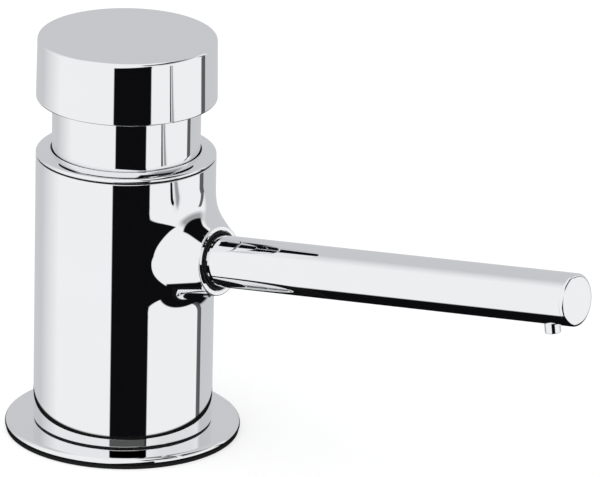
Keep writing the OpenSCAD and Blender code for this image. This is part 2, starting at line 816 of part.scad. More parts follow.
// Clear tube that brings the soap up from the bottle
module suction_tube() {
    color("#dfe6ea") ring(suction_bore_r, suction_bore_r + suction_wall, z_suction, z_nipple + barb_l * 2);
}

base_gasket();
rosette();
body_seal();
body_shell();
collar_seal();
collar_ring();
guide_bush();
push_cap();
button_sleeve();
cap_insert();
rod_screw();
piston_rod();
piston();
piston_seal();
return_spring();
pump_housing();
pump_cap();
pump_seal();
pump_retainer();
inlet_ball();
inlet_cage();
outlet_ball();
outlet_elbow();
feed_hose();
spout_tube();
spout_o_ring();
spout_grub_screw();
spout_end_plug();
outlet_block();
spout_nozzle();
threaded_shank();
clamp_rubber();
clamp_washer();
fixing_nut();
suction_tube();
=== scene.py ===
"""Looks of a deck-mounted soap dispenser with a push-button pump, built around its packed frame.

The file is laid out as an add-on: settings, one operator for each group of pieces, one for the
stage, and a panel. Every length is in metres, in the frame's own coordinates.
"""

import math

import bmesh
import bpy
from mathutils import Matrix, Vector


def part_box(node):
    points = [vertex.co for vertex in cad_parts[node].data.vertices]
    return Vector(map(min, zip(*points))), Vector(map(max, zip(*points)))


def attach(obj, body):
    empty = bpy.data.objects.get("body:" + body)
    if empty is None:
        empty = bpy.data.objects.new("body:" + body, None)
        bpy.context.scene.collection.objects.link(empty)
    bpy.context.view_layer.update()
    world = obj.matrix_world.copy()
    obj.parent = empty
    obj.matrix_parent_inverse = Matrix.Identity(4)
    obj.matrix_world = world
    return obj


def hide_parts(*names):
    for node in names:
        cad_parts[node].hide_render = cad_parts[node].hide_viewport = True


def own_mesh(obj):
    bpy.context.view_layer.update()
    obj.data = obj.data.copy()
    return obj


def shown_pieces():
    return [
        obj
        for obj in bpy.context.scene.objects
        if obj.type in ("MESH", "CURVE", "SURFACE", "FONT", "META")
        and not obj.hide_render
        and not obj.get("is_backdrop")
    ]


bl_info = {
    "name": "Soap dispenser looks",
    "version": (1, 0, 0),
    "blender": (4, 5, 0),
    "location": "View3D > Sidebar > Dispenser",
    "description": "Builds the finished pieces of a push-button soap dispenser around its frame",
    "category": "Object",
}

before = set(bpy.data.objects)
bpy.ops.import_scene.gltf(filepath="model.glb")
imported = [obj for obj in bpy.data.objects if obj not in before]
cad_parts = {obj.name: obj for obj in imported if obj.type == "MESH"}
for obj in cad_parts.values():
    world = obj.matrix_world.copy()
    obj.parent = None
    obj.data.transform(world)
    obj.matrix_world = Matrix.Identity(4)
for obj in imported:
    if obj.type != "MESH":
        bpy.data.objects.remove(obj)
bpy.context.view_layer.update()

MM = 0.001
# Facets round a turned piece, steps in a rounded edge and the angle from which an edge is left crisp
ROUND_STEPS = 192
EDGE_STEPS = 8
CRISP_ANGLE = math.radians(32)
# Facets of smaller turned pieces and of holes
GRUB_HOLE_STEPS = 48
NOZZLE_HOLE_STEPS = 64
NOZZLE_STEPS = 96
SHANK_STEPS = 128
# Steps along the collar ring's shoulder, round the black ring's section and up one turn of a thread
SHOULDER_STEPS = 16
RING_STEPS = 32
PITCH_STEPS = 16
# Facets along one turn of the spring and round its wire
SPRING_STEPS = 72
WIRE_STEPS = 20
# Steps of the body's skin: across and up its window, round its back, up to the flare and along it
WINDOW_ACROSS = 56
WINDOW_UP = 40
BACK_STEPS = 132
PATCH_STEPS = 12
FLARE_STEPS = 30
# Points closer than the first become one, and smaller radii than the second lie on the axis
MERGE = 1e-8
ON_AXIS = 1e-7
# Width of the narrow faces beside a rounded edge, which keep the flat faces next to it flat
EDGE_HOLD = 0.03 * MM
# Clearances that the frame's pieces have to each other
SEAT_FIT = 0.05 * MM
PASS_FIT = 0.4 * MM
LIP_GAP = 0.3 * MM
# How far a cutting shape reaches past the face that it opens
CUT = 1.0 * MM
# How far the window in the body's wall reaches past the flare's foot, to the sides and upwards
WINDOW_SIDE = math.radians(13)
WINDOW_TOP = 3.0 * MM
# Largest share of the flare's cone that its blend takes up
BLEND_SHARE = 0.9
# Rounds in which the spout's rise settles
RISE_ROUNDS = 30
# How close to a thread's radius a point has to lie to be cut
THREAD_REACH = 0.02 * MM
# How steep a thread's grooves are, and how much crest is left between them
GROOVE_SLOPE = 1.5
GROOVE_CREST = 0.25
# Dark panel in front of the dispenser, in degrees: its sides, the heights at which the rosette
# and the body's foot get a painted reflection of it in their colour, and its blur
PANEL_SIDES = (-15.0, 32.5)
PANEL_HIGH = (0.0, 40.0)
PANEL_BLUR = 1.2
# Height of the body's foot, mirrored by the rosette, that gets the painted panel reflection, and how
# softly that starts and ends
FOOT_MIRROR = 6.0 * MM
FOOT_EDGE = 0.1 * MM


def length(name, description, millimetres):
    """Setting in metres, given in millimetres."""
    return bpy.props.FloatProperty(
        name=name, description=description, default=millimetres * MM, unit="LENGTH", precision=5)


def turn(name, description, degrees):
    """Setting for an angle, given in degrees."""
    return bpy.props.FloatProperty(
        name=name, description=description, default=math.radians(degrees), subtype="ANGLE",
        unit="ROTATION")


def share(name, description, default):
    """Setting without a unit."""
    return bpy.props.FloatProperty(name=name, description=description, default=default, precision=3)


def tint(name, description, default):
    """Colour setting, in linear values."""
    return bpy.props.FloatVectorProperty(
        name=name, description=description, default=default, size=3, subtype="COLOR", min=0.0, max=1.0)


class DispenserEdges(bpy.types.PropertyGroup):
    """Radii of the edges that catch the light"""

    cap_top: length("Cap top", "Radius of the cap's top edge", 1.0)
    cap_foot: length("Cap foot", "Radius of the cap's lower edge", 0.4)
    cap_draft: length("Cap draft", "How much narrower the cap is at its top", 0.5)
    collar_width: length("Collar width", "Width of the collar ring's rounded shoulder", 3.5)
    collar_height: length("Collar height", "Height of the collar ring's rounded shoulder", 1.35)
    rosette: length("Rosette", "Radius of the rosette's upper rim", 1.2)
    seam: length("Seam", "Radius of the edges that meet at a seam", 0.2)
    socket: length("Socket", "Radius of the socket's front edge", 0.3)
    plug: length("Spout end", "Radius of the edge at the end of the spout", 0.8)
    joint: length("Joint", "Radius of the edges where the spout meets its end", 0.05)
    small: length("Small", "Radius of the edges of small pieces", 0.2)


class DispenserSocket(bpy.types.PropertyGroup):
    """Sizes of the flared socket that holds the spout"""

    radius: length("Radius", "Outside radius of the socket", 8.75)
    reach: length("Reach", "Distance from the body's axis to the socket's face", 29.5)
    plain: length("Plain length", "Length of plain socket in front of the flare", 0.4)
    foot_width: length("Foot width", "Half width of the flare where its blend meets the body", 15.2)
    foot_height: length("Foot height", "Half height of the flare where its blend meets the body", 16.0)
    foot_square: share("Foot squareness", "Exponent of the foot's outline: 2 is an ellipse", 4.0)
    cone_square: share("Cone squareness", "The same for the cone's outline at the body", 2.6)
    cone_width: length(
        "Cone width", "Half width of the flare's cone at the body, without its blend", 14.2)
    cone_height: length(
        "Cone height", "Half height of the flare's cone at the body, without its blend", 11.0)
    lift: length("Lift", "Height of the flare's foot over the spout's axis", 2.2)
    pull: share("Pull", "How far the blend is drawn into its corner", 0.75)
    mouth_gap: length("Mouth gap", "Width of the open ring round the tube", 1.0)


class DispenserThreads(bpy.types.PropertyGroup):
    """Sizes of the threads below the deck"""

    shank_pitch: length("Shank pitch", "Distance between two turns of the shank's thread", 3.0)
    shank_depth: length("Shank depth", "Depth of the shank's thread", 0.8)
    bottle_pitch: length("Bottle pitch", "Distance between two turns of the bottle's thread", 3.0)
    bottle_depth: length("Bottle depth", "Depth of the bottle's thread", 0.8)
    run_out: length("Run-out", "Length over which a thread fades at its ends", 1.5)
    bottle_radius: length("Bottle radius", "Outside radius of the bottle's thread", 12.0)
    shoulder: length("Shoulder", "Distance from the nut down to the shank's shoulder", 1.5)
    chamfer: length("Chamfer", "Chamfer at the start of a thread", 0.6)
    plain: length("Plain length", "Length of the shank's top that has no thread", 4.0)


class DispenserSpring(bpy.types.PropertyGroup):
    """Sizes of the return spring"""

    wire: length("Wire", "Radius of the spring's wire", 0.6)
    turns: share("Turns", "How often the wire goes round", 9.0)


class DispenserFinishes(bpy.types.PropertyGroup):
    """Colours of the finishes"""

    chrome: tint("Chrome", "Polished chrome plating", (0.93, 0.935, 0.945))
    chrome_shade: tint("Chrome shade", "Chrome where it is handled", (0.90, 0.905, 0.915))
    rubber: tint("Rubber", "Black rubber of the rings and gaskets", (0.010, 0.010, 0.011))
    white_plastic: tint("White plastic", "Moulded plastic of the pump", (0.82, 0.82, 0.79))
    black_plastic: tint("Black plastic", "Moulded plastic of the guide bush", (0.022, 0.022, 0.024))
    steel: tint("Steel", "Steel of the rod, screws, balls, spring and washer", (0.56, 0.57, 0.58))
    brass: tint("Brass", "Turned brass of the shank, nut and retainer", (0.62, 0.44, 0.17))
    hose: tint("Hose", "Clear soft plastic of the two hoses", (0.80, 0.86, 0.88))


class DispenserStudio(bpy.types.PropertyGroup):
    """Camera and surroundings"""

    azimuth: turn("Azimuth", "Turn of the camera about the body", 34.818)
    elevation: turn("Elevation", "Height of the camera over the horizon", 20.275)
    roll: turn("Roll", "Turn of the camera about its own axis", 1.294)
    distance: length("Distance", "Distance of the camera", 1800.0)
    aim_height: length("Aim height", "Height that the camera's distance is measured to", 50.0)
    shift_right: length(
        "Shift right", "How far the camera stands to the right of the body's axis", 43.718)
    shift_up: length("Shift up", "How far the camera stands above the aim height", 0.307)
    focal: share("Focal length", "Focal length in millimetres on a sensor 36 mm wide", 432.42)
    lamp_power: share("Lamp power", "Power of the soft lamp overhead, in watts", 4.0)


SETTINGS = {
    "dispenser_edges": DispenserEdges,
    "dispenser_socket": DispenserSocket,
    "dispenser_threads": DispenserThreads,
    "dispenser_spring": DispenserSpring,
    "dispenser_finishes": DispenserFinishes,
    "dispenser_studio": DispenserStudio,
}


def settings(name):
    """One of the groups of settings."""
    return getattr(bpy.context.scene, "dispenser_" + name)


# Node trees

def arithmetic(operation, swapped=False):
    """Operator of two values that adds a Math node."""
    def method(self, other):
        values = (other, self) if swapped else (self, other)
        return self.maths(operation, *values)
    return method


class Wire:
    """Output socket of a node, whose arithmetic adds Math nodes to its tree."""

    __add__ = __radd__ = arithmetic("ADD")
    __sub__ = arithmetic("SUBTRACT")
    __rsub__ = arithmetic("SUBTRACT", swapped=True)
    __mul__ = __rmul__ = arithmetic("MULTIPLY")
    __truediv__ = arithmetic("DIVIDE")
    __rtruediv__ = arithmetic("DIVIDE", swapped=True)

    def __init__(self, bench, socket):
        self.bench = bench
        self.socket = socket

    def maths(self, operation, *values):
        """Output of a Math node with these values or links."""
        return self.bench.node("Math", dict(enumerate(values)), operation=operation)

    def clamped(self):
        """The value, kept between 0 and 1."""
        return self.maths("MAXIMUM", self.maths("MINIMUM", self, 1.0), 0.0)


class Bench:
    """Adds nodes to one tree: a node's type, the values or links of its sockets, its options."""

    def __init__(self, tree):
        self.tree = tree

    def node(self, kind, sockets=None, output=0, **options):
        """Output of a new node, which is a shader node unless its type says otherwise."""
        made = self.tree.nodes.new(kind if "Node" in kind else "ShaderNode" + kind)
        for key, value in options.items():
            setattr(made, key, value)
        for key, value in (sockets or {}).items():
            if isinstance(value, Wire):
                self.tree.links.new(value.socket, made.inputs[key])
            else:
                made.inputs[key].default_value = value
        return Wire(self, made.outputs[output]) if made.outputs else None

    def blend(self, factor, first, second):
        """Colour between two colours."""
        sockets = {0: factor, 6: opaque(first), 7: opaque(second)}
        return self.node("Mix", sockets, 2, data_type="RGBA")


def opaque(colour):
    """A colour of three numbers with full alpha, or a link as it is."""
    return colour if isinstance(colour, Wire) else (*tuple(colour)[:3], 1.0)


# Finishes

def new_finish(name):
    """Empty material, the bench for its nodes and the place on the piece that they colour."""
    finish = bpy.data.materials.new(name)
    finish.use_nodes = True
    finish.node_tree.nodes.clear()
    bench = Bench(finish.node_tree)
    return finish, bench, bench.node("TexCoord", None, "Object")


def shown(finish, bench, sockets):
    """A material that ends in one Principled shader."""
    surface = bench.node("BsdfPrincipled", sockets, "BSDF")
    bench.node("OutputMaterial", {"Surface": surface})
    return finish


def noise(bench, place, scale, detail=3.0, roughness=0.55):
    """Value of a noise texture, about 0.5."""
    sockets = {"Vector": place, "Scale": scale, "Detail": detail, "Roughness": roughness}
    return bench.node("TexNoise", sockets, "Fac")


def bump(bench, height, strength, distance):
    """Normal bent by a height."""
    sockets = {"Height": height, "Strength": strength, "Distance": distance}
    return bench.node("Bump", sockets)


def between(low, high, value):
    """Value from low to high, for a value from 0 to 1."""
    return low + (high - low) * value


def shaded(colour, amount):
    """A colour made darker or lighter."""
    return [channel * amount for channel in colour]


def along_axes(bench, vector):
    """The three parts of a vector."""
    parts = bench.node("SeparateXYZ", {0: vector}).socket.node
    return [Wire(bench, socket) for socket in parts.outputs]


def pointing(bench, direction):
    """Degrees by which a direction lies to the right of the camera's side, and over the horizon."""
    facing = settings("studio").azimuth
    x, y, z = along_axes(bench, direction)
    rightward = x * math.cos(facing) + y * math.sin(facing)
    nearward = x * math.sin(facing) - y * math.cos(facing)
    bearing = x.maths("ARCTAN2", rightward, nearward) * math.degrees(1)
    return bearing, z.maths("ARCSINE", z) * math.degrees(1)


def band(value, low, high, soft):
    """1 between two values, with soft ends."""
    return ((value - low) / soft + 0.5).clamped() * ((high - value) / soft + 0.5).clamped()


def painted_panel_reflection(bench, place):
    """1 where a painted reflection of the panel's top goes on the rosette's face and the body's foot,
    seen in each other.
    """
    incoming = bench.node("NewGeometry", None, "Incoming")
    normal = Wire(bench, incoming.socket.node.outputs["Normal"])
    back = bench.node("VectorMath", {0: incoming, 1: normal}, operation="REFLECT")
    onward = bench.node("VectorMath", {0: back, "Scale": -1.0}, operation="SCALE")
    bearing, height = pointing(bench, onward)
    face = upright("rosette")[2]
    above = along_axes(bench, place)[2]
    near_rosette = band(above, face - FOOT_EDGE, face + FOOT_MIRROR, FOOT_EDGE)
    in_chrome = bench.node("LightPath", None, "Is Glossy Ray")
    top = band(bearing, *PANEL_SIDES, PANEL_BLUR) * band(height, *PANEL_HIGH, PANEL_BLUR)
    return in_chrome * near_rosette * top


def chrome_finish():
    """Polished plating with faint wipe marks, and a painted reflection of the dark panel in black."""
    finish, bench, place = new_finish("polished_chrome")
    colours = settings("finishes")
    wiped = bench.node("Mapping", {"Vector": place, "Scale": (1.0, 1.0, 0.25)})
    marks = noise(bench, wiped, scale=90.0, detail=5.0, roughness=0.6)
    haze = noise(bench, place, scale=28.0)
    plating = bench.blend(haze, colours.chrome, colours.chrome_shade)
    return shown(finish, bench, {
        # Painted reflection: black where the rosette and the body's foot would mirror the panel's top
        "Base Color": bench.blend(painted_panel_reflection(bench, place), plating, (0.0, 0.0, 0.0)),
        "Metallic": 1.0,
        "Roughness": between(0.012, 0.034, marks * haze),
    })


def rubber_finish():
    """Matt black rubber with a fine grain."""
    finish, bench, place = new_finish("black_rubber")
    grain = noise(bench, place, scale=2600.0, detail=4.0, roughness=0.6)
    bloom = noise(bench, place, scale=160.0)
    black = settings("finishes").rubber
    dust = 0.004
    return shown(finish, bench, {
        "Base Color": bench.blend(bloom, black, [channel + dust for channel in black]),
        "Roughness": between(0.6, 0.8, grain),
        "Specular IOR Level": 0.2,
        "Normal": bump(bench, grain, strength=0.25, distance=0.05 * MM),
    })


def plastic_finish(name, colour):
    """Moulded plastic with a fine spark-eroded texture and soft flow marks."""
    finish, bench, place = new_finish(name)
    grain = noise(bench, place, scale=3400.0, detail=2.0)
    flow = noise(bench, place, scale=110.0)
    return shown(finish, bench, {
        "Base Color": bench.blend(flow, colour, shaded(colour, 0.93)),
        "Roughness": between(0.3, 0.44, flow),
        "Normal": bump(bench, grain, strength=0.12, distance=0.03 * MM),
    })


def turned_metal_finish(name, colour, roughness):
    """Metal with the fine rings that a lathe leaves."""
    finish, bench, place = new_finish(name)
    flat = bench.node("Mapping", {"Vector": place, "Scale": (0.06, 0.06, 1.0)})
    rings = noise(bench, flat, scale=3000.0, detail=3.0, roughness=0.6)
    tarnish = noise(bench, place, scale=140.0, detail=4.0)
    return shown(finish, bench, {
        "Base Color": bench.blend(tarnish, colour, shaded(colour, 0.8)),
        "Metallic": 1.0,
        "Roughness": between(roughness, roughness + 0.16, tarnish),
        "Normal": bump(bench, rings, strength=0.12, distance=0.02 * MM),
    })


def hose_finish():
    """Clear soft plastic, slightly milky."""
    finish, bench, place = new_finish("clear_hose")
    milk = noise(bench, place, scale=240.0)
    clear = settings("finishes").hose
    return shown(finish, bench, {
        "Base Color": bench.blend(milk, clear, shaded(clear, 1.08)),
        "Roughness": between(0.16, 0.28, milk),
        "Alpha": between(0.5, 0.75, milk),
    })


# Every finish, by the slot of the record that it stands for
finishes = {}


# Shapes

def rounded(corners):
    """Outline through corners of (radius, height, edge radius), with an arc at each rounded one."""
    outline = []
    for index, (across, high, edge) in enumerate(corners):
        here = Vector((across, high))
        if not edge:
            outline.append(here)
            continue
        before = (Vector(corners[index - 1][:2]) - here).normalized()
        after = (Vector(corners[(index + 1) % len(corners)][:2]) - here).normalized()
        half = before.angle(after) / 2
        reach = edge / math.tan(half)
        centre = here + (before + after).normalized() * edge / math.sin(half)
        start = here + before * reach - centre
        end = here + after * reach - centre
        first = math.atan2(start.y, start.x)
        sweep = math.remainder(math.atan2(end.y, end.x) - first, math.tau)
        outline.append(here + before * (reach + EDGE_HOLD))
        for step in range(EDGE_STEPS + 1):
            angle = first + sweep * step / EDGE_STEPS
            outline.append(centre + edge * Vector((math.cos(angle), math.sin(angle))))
        outline.append(here + after * (reach + EDGE_HOLD))
    return outline


def sharp(*corners):
    """Outline of crisp corners, each a radius and a height."""
    return [Vector(corner) for corner in corners]


def ellipse(across, high, wide, tall, angles):
    """Points of an ellipse at these angles, from its centre and its two half axes."""
    return [
        Vector((across + wide * math.cos(angle), high + tall * math.sin(angle))) for angle in angles]


def new_object(name, data):
    """Object with this data in the scene."""
    made = bpy.data.objects.new(name, data)
    bpy.context.scene.collection.objects.link(made)
    return made


def new_piece(name, points, faces, place=None):
    """Object with a closed mesh whose faces point outwards, at the origin."""
    mesh = bpy.data.meshes.new(name)
    mesh.from_pydata(points, [], faces)
    shape = bmesh.new()
    shape.from_mesh(mesh)
    bmesh.ops.remove_doubles(shape, verts=shape.verts, dist=MERGE)
    bmesh.ops.recalc_face_normals(shape, faces=shape.faces)
    shape.to_mesh(mesh)
    shape.free()
    if place is not None:
        mesh.transform(place)
    smooth(mesh)
    return new_object(name, mesh)


def smooth(mesh):
    """Smooth shading with crisp edges where the faces meet at an angle."""
    mesh.shade_smooth()
    mesh.set_sharp_from_angle(angle=CRISP_ANGLE)


def joined_rings(rings, closed):
    """Faces between neighbouring rings of points, where a ring of one point is a pole."""
    faces = []
    pairs = list(zip(rings, rings[1:]))
    if closed:
        pairs.append((rings[-1], rings[0]))
    for low, high in pairs:
        count = max(len(low), len(high))
        if count == 1:
            continue
        for here in range(count):
            there = (here + 1) % count
            corners = ((low, here), (low, there), (high, there), (high, here))
            faces.append(list(dict.fromkeys(ring[place % len(ring)] for ring, place in corners)))
    return faces


def turned(name, outline, place=None, steps=ROUND_STEPS):
    """Solid of revolution of an outline of radii and heights."""
    points = []
    rings = []
    for across, high in outline:
        count = steps if across > ON_AXIS else 1
        rings.append(range(len(points), len(points) + count))
        for step in range(count):
            angle = math.tau * step / steps
            points.append((across * math.cos(angle), across * math.sin(angle), high))
    return new_piece(name, points, joined_rings(rings, True), place)


def applied(piece):
    """Turns a piece's modifiers into plain mesh."""
    depsgraph = bpy.context.evaluated_depsgraph_get()
    mesh = bpy.data.meshes.new_from_object(piece.evaluated_get(depsgraph))
    piece.modifiers.clear()
    piece.data = mesh
    return piece


def carved(piece, *cutters):
    """Cuts other shapes out of a piece and removes them."""
    for cutter in cutters:
        cut = piece.modifiers.new("carve", "BOOLEAN")
        cut.operation = "DIFFERENCE"
        cut.solver = "EXACT"
        cut.object = cutter
        applied(piece)
        bpy.data.objects.remove(cutter)
    smooth(piece.data)
    return piece


def finished(piece, body, slot, *nodes):
    """Gives a piece its finish and its body, and lets it stand for nodes of the frame."""
    piece.data.materials.clear()
    piece.data.materials.append(finishes[slot])
    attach(piece, body)
    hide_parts(*nodes)
    return piece


# Places that the frame gives

def upright(node):
    """Radius, lowest height and highest height of a node that is turned about the body's axis."""
    low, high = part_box(node)
    return high.y, low.z, high.z


def half_width(node):
    """Half of a node's width across the spout."""
    low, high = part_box(node)
    return (high.y - low.y) / 2


def corners_of(node, place=Matrix()):
    """Corners of a node in the coordinates of a place."""
    inverse = place.inverted()
    return [inverse @ corner.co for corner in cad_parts[node].data.vertices]


def inside_radius(node):
    """Smallest radius of a node about the body's axis."""
    return min(corner.xy.length for corner in corners_of(node))


def spout_axis():
    """Start height, rise and the two ends of the spout tube, worked out from the tube's own box."""
    low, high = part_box("spout_tube")
    radius = high.y
    rise = 0.0
    for _ in range(RISE_ROUNDS):
        upward = high.z - low.z - 2 * radius * math.cos(rise)
        outward = high.x - low.x - 2 * radius * math.sin(rise)
        rise = math.atan2(upward, outward)
    start = (low.x + radius * math.sin(rise)) / math.cos(rise)
    end = (high.x - radius * math.sin(rise)) / math.cos(rise)
    height = low.z + radius * math.cos(rise) - start * math.sin(rise)
    return height, rise, start, end


spout_height, spout_rise, tube_start, tube_end = spout_axis()
tube_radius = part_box("spout_tube")[1].y
body_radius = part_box("body_shell")[1].y
# Turns +Z into the spout's direction, with the spout's downward side on +X
spout_tilt = Matrix.Rotation(math.pi / 2 - spout_rise, 4, "Y")
spout_place = Matrix.Translation((0, 0, spout_height)) @ spout_tilt


def along_spout(node):
    """Nearest and farthest distance of a node along the spout."""
    places = [corner.z for corner in corners_of(node, spout_place)]
    return min(places), max(places)


def below_spout(distance):
    """Turns +Z into the direction down from the spout's axis, at a distance along it."""
    downward = Matrix.Rotation(math.pi / 2, 4, "Y")
    return spout_place @ Matrix.Translation((0, 0, distance)) @ downward


# Body with its flared socket, and its collar

def on_wall(width, height):
    """Point of the body's wall at a width and a height over the spout's axis."""
    across = math.sqrt(body_radius**2 - width**2)
    return Vector((across, width, spout_height + across * math.tan(spout_rise) + height))


def on_socket(distance, angle, radius):
    """Point at a distance along the spout, an angle round it and a radius from it."""
    local = Vector((-radius * math.sin(angle), radius * math.cos(angle), distance))
    return spout_place @ local


def rounded_square(angle, exponent):
    """Point of an outline between a circle and a square, of half width 1."""
    across, high = math.cos(angle), math.sin(angle)
    radius = (abs(across)**exponent + abs(high)**exponent)**(-1 / exponent)
    return radius * across, radius * high


def flare_curve(angle):
    """Points from the flare's foot on the body, which it leaves at a tangent, to the plain socket."""
    sizes = settings("socket")
    across, high = rounded_square(angle, sizes.foot_square)
    foot = on_wall(sizes.foot_width * across, sizes.lift + sizes.foot_height * high)
    across, high = rounded_square(angle, sizes.cone_square)
    corner = on_wall(sizes.cone_width * across, sizes.lift + sizes.cone_height * high)
    top = on_socket(sizes.reach - sizes.plain, angle, sizes.radius)
    outward = Vector((foot.x, foot.y, 0)).normalized()
    inward = corner - foot
    cone = top - corner
    start = corner + cone * min(inward.length / cone.length, BLEND_SHARE)
    inward = (inward - outward * inward.dot(outward)).normalized() * inward.length
    low_handle = foot + sizes.pull * inward
    high_handle = start + sizes.pull * (corner - start)
    handles = (foot, low_handle, high_handle, start)
    points = []
    for step in range(FLARE_STEPS + 1):
        t = step / FLARE_STEPS
        weights = ((1 - t)**3, 3 * t * (1 - t)**2, 3 * t * t * (1 - t), t**3)
        points.append(sum((weight * handle for weight, handle in zip(weights, handles)), Vector()))
    straight = FLARE_STEPS // 3
    points += [start.lerp(top, step / straight) for step in range(1, straight + 1)]
    return points


def flare_spoke(bearing, height, angle):
    """Points from the window's edge over the wall and the flare to the rim of the socket's face."""
    sizes = settings("socket")
    curve = flare_curve(angle)
    foot_bearing = math.atan2(curve[0].y, curve[0].x)
    patch = []
    for step in range(1, PATCH_STEPS):
        t = step / PATCH_STEPS
        turned_by = bearing + (foot_bearing - bearing) * t
        place = height + (curve[0].z - height) * t
        x = body_radius * math.cos(turned_by)
        y = body_radius * math.sin(turned_by)
        patch.append(Vector((x, y, place)))
    edge = settings("edges").socket
    face = rounded([(0, sizes.reach, 0), (sizes.radius, sizes.reach, edge), (sizes.radius, 0, 0)])
    rim = [on_socket(place, angle, across) for across, place in reversed(face[1:-1])]
    return patch + curve + rim


def open_wall(rows, angles, first, last):
    """Points and faces of a turned wall with a window, and its points by row and column."""
    points = []
    grid = {}
    for row, (across, place) in enumerate(rows):
        for column, angle in enumerate(angles):
            if first < row < last and 0 < column < WINDOW_ACROSS:
                continue
            if across < ON_AXIS and column:
                grid[row, column] = grid[row, 0]
                continue
            grid[row, column] = len(points)
            points.append(Vector((across * math.cos(angle), across * math.sin(angle), place)))
    faces = []
    for row in range(len(rows) - 1):
        for column in range(len(angles)):
            if first <= row < last and column < WINDOW_ACROSS:
                continue
            there = (column + 1) % len(angles)
            corners = (grid[row, column], grid[row, there], grid[row + 1, there], grid[row + 1, column])
            faces.append(list(dict.fromkeys(corners)))
    return points, faces, grid


def window_border(first, last):
    """Row and column of each point round the window, in turn."""
    border = [(first, column) for column in range(WINDOW_ACROSS)]
    border += [(row, WINDOW_ACROSS) for row in range(first, last)]
    border += [(last, column) for column in range(WINDOW_ACROSS, 0, -1)]
    border += [(row, 0) for row in range(last, first, -1)]
    return border


def body_blank():
    """Solid body and socket in one skin: a turned wall, and the flare that fills a window in it."""
    sizes = settings("socket")
    seam = settings("edges").seam
    radius, low, high = upright("body_shell")
    half_turn = math.asin(sizes.foot_width / radius) + WINDOW_SIDE
    middle = spout_height + radius * math.tan(spout_rise) + sizes.lift
    half_high = sizes.foot_height + WINDOW_TOP
    angles = [half_turn * (2 * step / WINDOW_ACROSS - 1) for step in range(WINDOW_ACROSS + 1)]
    rest = math.tau - 2 * half_turn
    angles += [half_turn + rest * step / BACK_STEPS for step in range(1, BACK_STEPS)]
    outline = rounded([(0, low, 0), (radius, low, seam), (radius, high, seam), (0, high, 0)])
    first = len(outline) // 2
    last = first + WINDOW_UP
    window = [middle - half_high + 2 * half_high * step / WINDOW_UP for step in range(WINDOW_UP + 1)]
    rows = outline[:first] + [Vector((radius, place)) for place in window] + outline[first:]
    points, faces, grid = open_wall(rows, angles, first, last)
    border = window_border(first, last)
    spokes = []
    for row, column in border:
        bearing, height = angles[column], rows[row].y
        angle = math.atan2((height - middle) / half_high, bearing / half_turn)
        spokes.append(flare_spoke(bearing, height, angle))
    rings = [[grid[place] for place in border]]
    for ring in zip(*spokes):
        rings.append(range(len(points), len(points) + len(ring)))
        points += ring
    rings.append([len(points)])
    points.append(on_socket(sizes.reach, 0, 0))
    return new_piece("chrome_body", points, faces + joined_rings(rings, False))


def body_cutters():
    """What is cut out of the body: the pump's space, the socket's bore and the grub screw's hole."""
    sizes = settings("socket")
    edges = settings("edges")
    _, low, high = upright("body_shell")
    pump_radius = upright("pump_retainer")[0] + SEAT_FIT
    floor = upright("pump_seal")[1]
    bush_radius, shelf, _ = upright("guide_bush")
    shank_hole = upright("threaded_shank")[0] + SEAT_FIT
    bush_hole = bush_radius + SEAT_FIT
    space = turned("pump_space", sharp(
        (0, low - CUT), (shank_hole, low - CUT), (shank_hole, floor), (pump_radius, floor),
        (pump_radius, shelf), (bush_hole, shelf), (bush_hole, high + CUT), (0, high + CUT)))
    hose_hole = half_width("feed_hose") + PASS_FIT
    bore = tube_radius + SEAT_FIT
    mouth = tube_radius + sizes.mouth_gap
    step = along_spout("spout_o_ring")[0]
    socket = turned("socket_bore", sharp(
        (0, pump_radius / 2), (hose_hole, pump_radius / 2), (hose_hole, tube_start),
        (bore, tube_start), (bore, step), (mouth, step), (mouth, sizes.reach - edges.small),
        (mouth + edges.small, sizes.reach), (mouth + edges.small, sizes.reach + CUT),
        (0, sizes.reach + CUT)), spout_place)
    grub_low, grub_high = along_spout("spout_grub_screw")
    grub_hole = (grub_high - grub_low) / 2 + SEAT_FIT
    screw = turned("grub_hole", sharp(
        (0, bore), (grub_hole, bore), (grub_hole, 2 * bore), (0, 2 * bore)),
        below_spout((grub_low + grub_high) / 2), GRUB_HOLE_STEPS)
    return space, socket, screw


def collar():
    """Ring on top of the body, with a rounded shoulder."""
    edges = settings("edges")
    radius, low, high = upright("collar_ring")
    seam = upright("collar_seal")[2]
    spigot = upright("guide_bush")[0]
    mouth = inside_radius("collar_ring")
    width, height = edges.collar_width, edges.collar_height
    quarter = [math.pi / 2 * step / SHOULDER_STEPS for step in range(SHOULDER_STEPS + 1)]
    shoulder = ellipse(radius - width, high - height, width, height, quarter)
    plain = rounded([
        (mouth, low, 0), (spigot, low, edges.small), (spigot, seam, 0), (radius, seam, edges.seam),
        (*shoulder[0], 0), (*shoulder[-1], 0), (mouth, high, edges.small)])
    top = plain.index(shoulder[0])
    return turned("chrome_collar", plain[:top] + shoulder + plain[top + 2:])


# Spout

def nozzle_place():
    """Radius of the nozzle and the place that it hangs from."""
    low, high = along_spout("spout_nozzle")
    return (high - low) / 2, below_spout((low + high) / 2)


def spout_tube():
    """Tube with a hole for the nozzle."""
    edges = settings("edges")
    bore = half_width("outlet_block") + SEAT_FIT
    nozzle_radius, under = nozzle_place()
    hole = nozzle_radius + SEAT_FIT
    tube = turned("chrome_spout", rounded([
        (bore, tube_start, 0), (tube_radius, tube_start, edges.small),
        (tube_radius, tube_end, edges.joint), (bore, tube_end, 0)]), spout_place)
    return carved(tube, turned("nozzle_hole", sharp(
        (0, bore / 2), (hole, bore / 2), (hole, tube_radius + CUT), (0, tube_radius + CUT)),
        under, NOZZLE_HOLE_STEPS))


